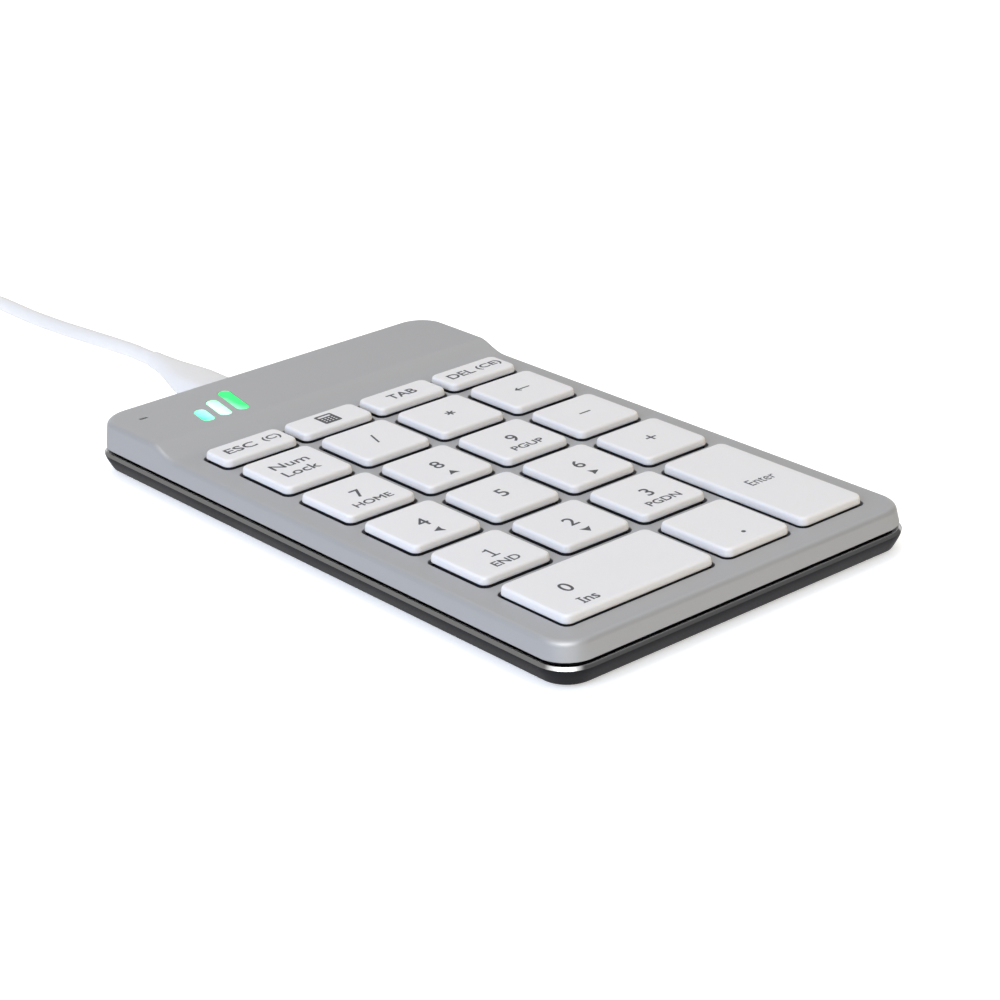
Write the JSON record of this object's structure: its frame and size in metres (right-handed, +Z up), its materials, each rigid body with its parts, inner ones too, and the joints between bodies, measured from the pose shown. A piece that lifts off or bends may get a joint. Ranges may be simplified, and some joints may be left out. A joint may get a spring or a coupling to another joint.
{
  "type": "numeric keypad",
  "caption": "Slim numeric keypad: silver cover with raised rear deck, white key caps over a dome sheet, polished trim, black base, detachable charging cable.",
  "frame": {"origin": "centre of the base shell's flat underside; the four rubber feet stand 0.8 mm below it", "axes": "+X to the keypad's right as a user faces it, +Y to the rear where the cable plugs in, +Z up out of the keys"},
  "size_m": [0.0924, 0.262, 0.011],
  "materials": {
    "keycap_white": "fine satin",
    "cover_silver": "silver paint, satin",
    "trim_polished": "polished",
    "base_black": "gloss",
    "foot_rubber": "matt",
    "screw_steel": "machined",
    "plate_steel": "rolled",
    "film_polyester": "clear film",
    "dome_silicone": "matt",
    "frame_black": "moulded",
    "wire_steel": "drawn wire",
    "board_green": "solder mask",
    "can_steel": "stamped",
    "chip_black": "moulded epoxy",
    "connector_ivory": "moulded",
    "battery_foil": "laminate foil",
    "lead_red": "insulation",
    "slider_black": "moulded",
    "led_cream": "gloss",
    "window_smoke": "smoked",
    "mark_green": "translucent, lit green",
    "plug_steel": "drawn shell",
    "cable_white": "satin moulded",
    "contact_white": "moulded"
  },
  "bodies": {
    "housing": {"top_cover": "cover_silver", "trim_ring": "trim_polished", "base_shell": "base_black", "foot_front_left": "foot_rubber", "foot_front_right": "foot_rubber", "foot_rear_left": "foot_rubber", "foot_rear_right": "foot_rubber", "screw_front_left": "screw_steel", "screw_front_right": "screw_steel", "screw_rear_left": "screw_steel", "screw_rear_right": "screw_steel", "support_plate": "plate_steel", "membrane_bottom_film": "film_polyester", "membrane_spacer": "film_polyester", "membrane_top_film": "film_polyester", "dome_sheet": "dome_silicone", "key_guide_frame": "frame_black", "main_pcb": "board_green", "wireless_module": "can_steel", "controller_chip": "chip_black", "membrane_connector": "connector_ivory", "battery_cell": "battery_foil", "battery_lead": "lead_red", "usb_c_receptacle": "can_steel", "power_switch_body": "can_steel", "status_led": "led_cream", "status_light_pipe": "window_smoke", "emblem_led": "led_cream", "emblem_light_guide": "mark_green"},
    "cap_esc": {"key_esc": "keycap_white"},
    "cap_calculator": {"key_calculator": "keycap_white"},
    "cap_tab": {"key_tab": "keycap_white"},
    "cap_del": {"key_del": "keycap_white"},
    "cap_num_lock": {"key_num_lock": "keycap_white"},
    "cap_divide": {"key_divide": "keycap_white"},
    "cap_multiply": {"key_multiply": "keycap_white"},
    "cap_backspace": {"key_backspace": "keycap_white"},
    "cap_7": {"key_7": "keycap_white"},
    "cap_8": {"key_8": "keycap_white"},
    "cap_9": {"key_9": "keycap_white"},
    "cap_minus": {"key_minus": "keycap_white"},
    "cap_4": {"key_4": "keycap_white"},
    "cap_5": {"key_5": "keycap_white"},
    "cap_6": {"key_6": "keycap_white"},
    "cap_plus": {"key_plus": "keycap_white"},
    "cap_1": {"key_1": "keycap_white"},
    "cap_2": {"key_2": "keycap_white"},
    "cap_3": {"key_3": "keycap_white"},
    "cap_enter": {"key_enter": "keycap_white"},
    "cap_0": {"key_0": "keycap_white"},
    "cap_dot": {"key_dot": "keycap_white"},
    "wire_0": {"stabiliser_wire_0": "wire_steel"},
    "wire_enter": {"stabiliser_wire_enter": "wire_steel"},
    "switch_slider": {"power_switch_slider": "slider_black"},
    "charging_cable": {"usb_c_plug_shell": "plug_steel", "usb_c_plug_overmould": "cable_white", "usb_cable": "cable_white", "usb_a_plug_overmould": "cable_white", "usb_a_plug_shell": "plug_steel", "usb_a_contact_block": "contact_white"}
  },
  "joints": [
    {"name": "press_esc", "type": "slide", "parent": "housing", "child": "cap_esc", "axis": [0, 0, -1], "range_m": [0, 0.0014], "stiffness_N_per_m": 100, "springref_m": -0.002, "deforming": ["dome_sheet"]},
    {"name": "press_calculator", "type": "slide", "parent": "housing", "child": "cap_calculator", "axis": [0, 0, -1], "range_m": [0, 0.0014], "stiffness_N_per_m": 100, "springref_m": -0.002, "deforming": ["dome_sheet"]},
    {"name": "press_tab", "type": "slide", "parent": "housing", "child": "cap_tab", "axis": [0, 0, -1], "range_m": [0, 0.0014], "stiffness_N_per_m": 100, "springref_m": -0.002, "deforming": ["dome_sheet"]},
    {"name": "press_del", "type": "slide", "parent": "housing", "child": "cap_del", "axis": [0, 0, -1], "range_m": [0, 0.0014], "stiffness_N_per_m": 100, "springref_m": -0.002, "deforming": ["dome_sheet"]},
    {"name": "press_num_lock", "type": "slide", "parent": "housing", "child": "cap_num_lock", "axis": [0, 0, -1], "range_m": [0, 0.0014], "stiffness_N_per_m": 100, "springref_m": -0.002, "deforming": ["dome_sheet"]},
    {"name": "press_divide", "type": "slide", "parent": "housing", "child": "cap_divide", "axis": [0, 0, -1], "range_m": [0, 0.0014], "stiffness_N_per_m": 100, "springref_m": -0.002, "deforming": ["dome_sheet"]},
    {"name": "press_multiply", "type": "slide", "parent": "housing", "child": "cap_multiply", "axis": [0, 0, -1], "range_m": [0, 0.0014], "stiffness_N_per_m": 100, "springref_m": -0.002, "deforming": ["dome_sheet"]},
    {"name": "press_backspace", "type": "slide", "parent": "housing", "child": "cap_backspace", "axis": [0, 0, -1], "range_m": [0, 0.0014], "stiffness_N_per_m": 100, "springref_m": -0.002, "deforming": ["dome_sheet"]},
    {"name": "press_7", "type": "slide", "parent": "housing", "child": "cap_7", "axis": [0, 0, -1], "range_m": [0, 0.0014], "stiffness_N_per_m": 100, "springref_m": -0.002, "deforming": ["dome_sheet"]},
    {"name": "press_8", "type": "slide", "parent": "housing", "child": "cap_8", "axis": [0, 0, -1], "range_m": [0, 0.0014], "stiffness_N_per_m": 100, "springref_m": -0.002, "deforming": ["dome_sheet"]},
    {"name": "press_9", "type": "slide", "parent": "housing", "child": "cap_9", "axis": [0, 0, -1], "range_m": [0, 0.0014], "stiffness_N_per_m": 100, "springref_m": -0.002, "deforming": ["dome_sheet"]},
    {"name": "press_minus", "type": "slide", "parent": "housing", "child": "cap_minus", "axis": [0, 0, -1], "range_m": [0, 0.0014], "stiffness_N_per_m": 100, "springref_m": -0.002, "deforming": ["dome_sheet"]},
    {"name": "press_4", "type": "slide", "parent": "housing", "child": "cap_4", "axis": [0, 0, -1], "range_m": [0, 0.0014], "stiffness_N_per_m": 100, "springref_m": -0.002, "deforming": ["dome_sheet"]},
    {"name": "press_5", "type": "slide", "parent": "housing", "child": "cap_5", "axis": [0, 0, -1], "range_m": [0, 0.0014], "stiffness_N_per_m": 100, "springref_m": -0.002, "deforming": ["dome_sheet"]},
    {"name": "press_6", "type": "slide", "parent": "housing", "child": "cap_6", "axis": [0, 0, -1], "range_m": [0, 0.0014], "stiffness_N_per_m": 100, "springref_m": -0.002, "deforming": ["dome_sheet"]},
    {"name": "press_plus", "type": "slide", "parent": "housing", "child": "cap_plus", "axis": [0, 0, -1], "range_m": [0, 0.0014], "stiffness_N_per_m": 100, "springref_m": -0.002, "deforming": ["dome_sheet"]},
    {"name": "press_1", "type": "slide", "parent": "housing", "child": "cap_1", "axis": [0, 0, -1], "range_m": [0, 0.0014], "stiffness_N_per_m": 100, "springref_m": -0.002, "deforming": ["dome_sheet"]},
    {"name": "press_2", "type": "slide", "parent": "housing", "child": "cap_2", "axis": [0, 0, -1], "range_m": [0, 0.0014], "stiffness_N_per_m": 100, "springref_m": -0.002, "deforming": ["dome_sheet"]},
    {"name": "press_3", "type": "slide", "parent": "housing", "child": "cap_3", "axis": [0, 0, -1], "range_m": [0, 0.0014], "stiffness_N_per_m": 100, "springref_m": -0.002, "deforming": ["dome_sheet"]},
    {"name": "press_enter", "type": "slide", "parent": "housing", "child": "cap_enter", "axis": [0, 0, -1], "range_m": [0, 0.0014], "stiffness_N_per_m": 100, "springref_m": -0.002, "deforming": ["dome_sheet"]},
    {"name": "press_0", "type": "slide", "parent": "housing", "child": "cap_0", "axis": [0, 0, -1], "range_m": [0, 0.0014], "stiffness_N_per_m": 100, "springref_m": -0.002, "deforming": ["dome_sheet"]},
    {"name": "press_dot", "type": "slide", "parent": "housing", "child": "cap_dot", "axis": [0, 0, -1], "range_m": [0, 0.0014], "stiffness_N_per_m": 100, "springref_m": -0.002, "deforming": ["dome_sheet"]},
    {"name": "wire_0_turn", "type": "hinge", "parent": "housing", "child": "wire_0", "pos_m": [-0.019, -0.05298, 0.0061], "axis": [1, 0, 0], "range_deg": [0, 11.8]},
    {"name": "wire_enter_turn", "type": "hinge", "parent": "housing", "child": "wire_enter", "pos_m": [0.0311, -0.04605, 0.0061], "axis": [0, -1, 0], "range_deg": [0, 11.8]},
    {"name": "power_switch", "type": "slide", "parent": "housing", "child": "switch_slider", "axis": [1, 0, 0], "range_m": [0, 0.002]},
    {"name": "usb_c_unplug", "type": "slide", "parent": "housing", "child": "charging_cable", "axis": [0, 1, 0], "range_m": [0, 0.012]}
  ],
  "couplings": [
    {"joint": "wire_0_turn", "follows": "press_0", "rad_per_m": 146.54},
    {"joint": "wire_enter_turn", "follows": "press_enter", "rad_per_m": 146.54}
  ]
}
